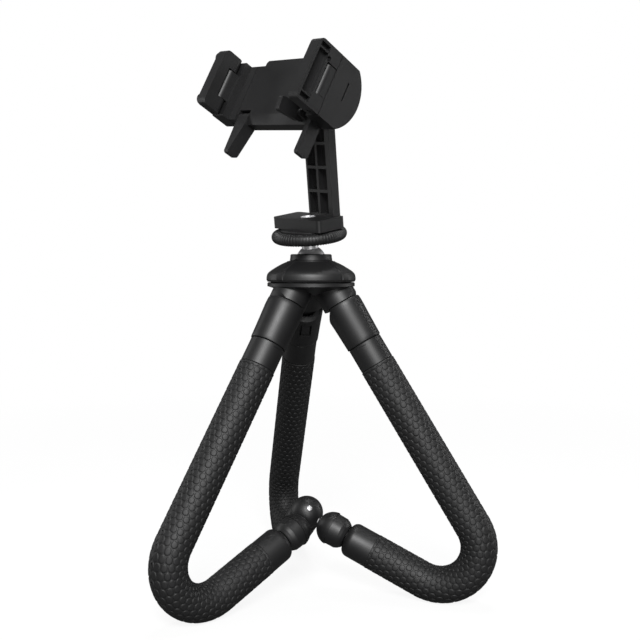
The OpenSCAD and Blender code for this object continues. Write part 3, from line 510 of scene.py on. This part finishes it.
plastic = surface("black_plastic", black_plastic)
for node in paint_nodes("black_plastic", plastic):
    round_edges(node, 0.00038).harden_normals = True


# Cuffs: moulded sleeves of black plastic that swell towards the hub and snap over the
# collars. The inner side is cut off at a slant, and a window there takes the snap.
def lathe(outline, turns):
    """Rings of points, an outline of radii and heights turned round the upright axis."""
    return [(r * math.cos(2 * math.pi * j / turns), r * math.sin(2 * math.pi * j / turns), z)
            for r, z in outline for j in range(turns)]


def cutting_block(size, start, move, tip):
    """A block that starts at one x, tipped about the y axis and moved to its place."""
    mesh = bpy.data.meshes.new("cuff_cutter")
    mesh.from_pydata([(x, y, z) for x in (start, start + size[0])
                      for y in (-size[1] / 2, size[1] / 2)
                      for z in (-size[2] / 2, size[2] / 2)], [],
                     [(0, 1, 3, 2), (4, 6, 7, 5), (0, 4, 5, 1), (2, 3, 7, 6), (0, 2, 6, 4),
                      (1, 5, 7, 3)])
    mesh.transform(Matrix.Translation(move) @ Matrix.Rotation(math.radians(tip), 4, "Y"))
    return add_object("cuff_cutter", mesh)


cuff_bore_r, cuff_from = 0.00795, 0.0016
cuff_turns = 96
cuff_outline = [(cuff_bore_r, cuff_from), (0.0099, cuff_from), (0.0101, 0.0017),
                (0.0103, 0.0021), (0.0104, 0.0040), (0.0104, 0.0065), (0.0103, 0.0090),
                (0.01012, 0.0130), (0.00995, 0.0180), (0.0098, 0.0230), (0.00975, 0.0248),
                (0.0096, 0.0252), (0.0094, cuff_end), (cuff_bore_r, cuff_end)]
window_w, window_h, window_deep = 0.0063, 0.0068, 0.0100
window_place = (0.0100, 0, 0.0140)
slant_place, slant_tip, slant_size = (0.0104, 0, 0.0078), 45, (0.0110, 0.0300, 0.0400)
for side, azimuth, _ in legs:
    mesh = bpy.data.meshes.new("cuff_blank")
    mesh.from_pydata(lathe(cuff_outline, cuff_turns), [],
                     skin(len(cuff_outline), cuff_turns, closed=True, turned_over=True))
    carrier = add_object("cuff_blank", mesh)
    window = cutting_block((window_deep, window_w, window_h), -window_deep / 2,
                           window_place, 0)
    slant = cutting_block(slant_size, 0, slant_place, slant_tip)
    for cutter in (window, slant):
        cut = carrier.modifiers.new("cut", "BOOLEAN")
        cut.operation, cut.object, cut.solver = "DIFFERENCE", cutter, "EXACT"
    round_edges(carrier, 0.0003)
    mesh = plain_mesh(carrier)
    for cutter in (window, slant):
        bpy.data.objects.remove(cutter)
    mesh.transform(Matrix.Rotation(azimuth, 4, "Z") @ Matrix.Translation(leg_top)
                   @ Matrix.Rotation(math.pi - leg_lean, 4, "Y"))
    piece = smooth_object("cuff_shell_" + side, mesh, plastic, sharp=32)
    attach(piece, "hub")
    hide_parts("cuff_" + side)


# Ball's cup: a ring of dull nylon inside the tower, which the knob squeezes round
# the ball. It shows only as a thin dark line.
def dull_nylon(where):
    return {"Base Color": (0.05, 0.05, 0.05, 1),
            "Roughness": 0.4 + 0.15 * noise(where, 400.0, 2.0)}


nylon = surface("nylon", dull_nylon)
paint_nodes("nylon", nylon)


# Locking knob: one moulding of black plastic, four shallow panels with flat ridges
# between them. Its ring screws down on the tower and clamps the ball in its cup.
hub_rise = 0.0103
clear = 0.0003
knob_foot = axis_z + hub_rise + clear
knob_turn = 48.2
knob_bore_r = 0.0085
flank_steps = 12
panel_steps = 24
# radius and height of a ridge and of a panel, where the flank starts and ends, and how
# far it swells half-way down
flank_top = np.array((0.0109, 0.0122, 0.0109, 0.0116))
flank_foot = np.array((0.0240, 0.0053, 0.0221, 0.0059))
flank_swell = np.array((0.0003, 0.0006, 0.0002, 0.0004))
rim = [(0.02445, 0.0047, 0.0233, 0.0048), (0.02465, 0.0039, 0.0238, 0.0040),
       (0.02475, 0.0030, 0.02405, 0.0031), (0.02475, 0.0020, 0.0242, 0.0020),
       (0.0246, 0.0013, 0.0242, 0.0012), (0.0240, 0.0004, 0.0238, 0.0004),
       (0.0237, 0.0001, 0.0236, 0.0001)]
inside = [(0.0130, 0.0001, 0.0130, 0.0001), (0.0130, 0.0110, 0.0130, 0.0110),
          (knob_bore_r, 0.0118, knob_bore_r, 0.0118)]
# across a ridge: place as a share of its half width, and how far down to the panel
ridge_section = ((-1, 0.9), (-0.84, 0.0), (0, -0.08), (0.84, 0.0), (1, 0.9))
ridge_half, ridge_widens, ridge_length = 0.0009, 0.0015, 0.0155
ridge_side = 0.00035
hollow, hollow_from, hollow_length = 0.00022, 0.0105, 0.008
flank = [flank_top + (flank_foot - flank_top) * t + flank_swell * math.sin(math.pi * t)
         for t in np.linspace(0, 1, flank_steps + 1)]
rows = flank + rim + inside
verts = []
for ridge_r, ridge_h, panel_r, panel_h in rows:
    widening = min(1, (ridge_r - knob_bore_r) / ridge_length)
    half = (ridge_half + ridge_widens * widening) / ridge_r
    first = half + ridge_side / ridge_r
    last = math.pi / 2 - first
    deep = hollow * min(max((panel_r - hollow_from) / hollow_length, 0), 1)
    for quarter in range(4):
        ridge_at = math.radians(knob_turn + 90 * quarter)
        for share, low in ridge_section:
            a = ridge_at + half * share
            r, h = ridge_r + (panel_r - ridge_r) * low, ridge_h + (panel_h - ridge_h) * low
            verts.append((r * math.cos(a), r * math.sin(a), h))
        for t in np.linspace(0, 1, panel_steps + 1):
            a = ridge_at + first + (last - first) * t
            r = panel_r - deep * math.sin(math.pi * t)
            verts.append((r * math.cos(a), r * math.sin(a), panel_h))
faces = skin(len(rows), 4 * (len(ridge_section) + panel_steps + 1), turned_over=True)
ring_first = len(verts)
ring_turns = 96
ring_outline = [(0.00766, 0.0118), (0.00766, 0.0146), (0.0079, 0.0148), (0.0105, 0.0148),
                (0.0109, 0.0146), (0.0111, 0.0142), (0.0112, 0.0128), (0.01135, 0.0122),
                (0.01135, 0.0112), (knob_bore_r, 0.0112)]
verts += lathe(ring_outline, ring_turns)
faces += [tuple(ring_first + corner for corner in face)
          for face in skin(len(ring_outline), ring_turns, turned_over=True)]
mesh = bpy.data.meshes.new("knob_shell")
mesh.from_pydata(verts, [], faces)
mesh.transform(Matrix.Translation((0, 0, knob_foot)))
piece = smooth_object("knob_shell", mesh, plastic, sharp=20)
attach(piece, "knob")
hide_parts("lock_knob")

# Locking wheel: a moulded disc of black plastic on the stud, screwed up against the
# bracket. Its rim is half round and has fine raised ribs that follow the round.
ball_rise = 0.0116
wheel_rise = 0.0109
holder_turn, holder_lean = math.radians(-108.4), math.radians(12.4)
lean_way = Matrix.Rotation(holder_turn, 4, "Z") @ Matrix.Rotation(holder_lean, 4, "Y")
on_wheel = (Matrix.Translation((0, 0, knob_foot + ball_rise)) @ lean_way
            @ Matrix.Translation((0, 0, wheel_rise)))
disc_r, disc_t = 0.0203, 0.0060
bore_r, bore_edge = 0.00316, 0.0003
rim_mid_r, rim_r = disc_r - 0.0033, 0.0029
rim_steps = 16
disc_turns = 144
outline = [(bore_r, bore_edge), (bore_r + bore_edge, 0.0), (disc_r - 0.0046, 0.0),
           (disc_r - 0.0042, 0.0002)]
for i in range(rim_steps + 1):
    t = math.pi * (i / rim_steps - 0.5)
    outline.append((rim_mid_r + rim_r * math.cos(t), disc_t / 2 + rim_r * math.sin(t)))
outline += [(disc_r - 0.0044, disc_t - 0.0001), (disc_r - 0.0050, disc_t - 0.0005),
            (disc_r - 0.0056, disc_t), (bore_r + bore_edge, disc_t),
            (bore_r, disc_t - bore_edge)]
mesh = bpy.data.meshes.new("wheel_disc")
mesh.from_pydata(lathe(outline, disc_turns), [], skin(len(outline), disc_turns, closed=True))
mesh.transform(on_wheel)
piece = smooth_object("wheel_disc", mesh, plastic)
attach(piece, "wheel")
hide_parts("lock_wheel")

rib_count, rib_r, rib_arch_r, rib_reach = 76, 0.00046, 0.00275, math.radians(82)
ribs, given = new_tree("wheel_ribs", Count="NodeSocketInt", Centre="NodeSocketFloat",
                       Round="NodeSocketFloat")
arch = Wire.add(ribs, "GeometryNodeCurveArc", "Curve",
                {"Resolution": 13, "Radius": given.other("Round"),
                 "Start Angle": -rib_reach, "Sweep Angle": 2 * rib_reach})
upright = Wire.add(ribs, "GeometryNodeTransform", "Geometry",
                   {"Geometry": arch, "Rotation": (math.radians(90), 0, 0)})
section = Wire.add(ribs, "GeometryNodeCurvePrimitiveCircle", "Curve",
                   {"Resolution": 8, "Radius": rib_r})
rib = Wire.add(ribs, "GeometryNodeCurveToMesh", "Mesh",
               {"Curve": upright, "Profile Curve": section, "Fill Caps": True})
circle = Wire.add(ribs, "GeometryNodeMeshCircle", "Mesh",
                  {"Vertices": given.other("Count"), "Radius": given.other("Centre")})
number = Wire.add(ribs, "GeometryNodeInputIndex", "Index", {})
turn = Wire.add(ribs, "ShaderNodeCombineXYZ", "Vector",
                {"Z": 2 * math.pi * (number / given.other("Count"))})
placed = Wire.add(ribs, "GeometryNodeInstanceOnPoints", "Instances",
                  {"Points": circle, "Instance": rib, "Rotation": turn})
end_tree(ribs, placed, given)
mesh = grow(ribs, bpy.data.meshes.new("ribs_blank"), Count=rib_count, Centre=rim_mid_r,
            Round=rib_arch_r, Material=plastic)
mesh.transform(on_wheel @ Matrix.Translation((0, 0, disc_t / 2)))
piece = smooth_object("wheel_ribs", mesh, plastic)
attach(piece, "wheel")
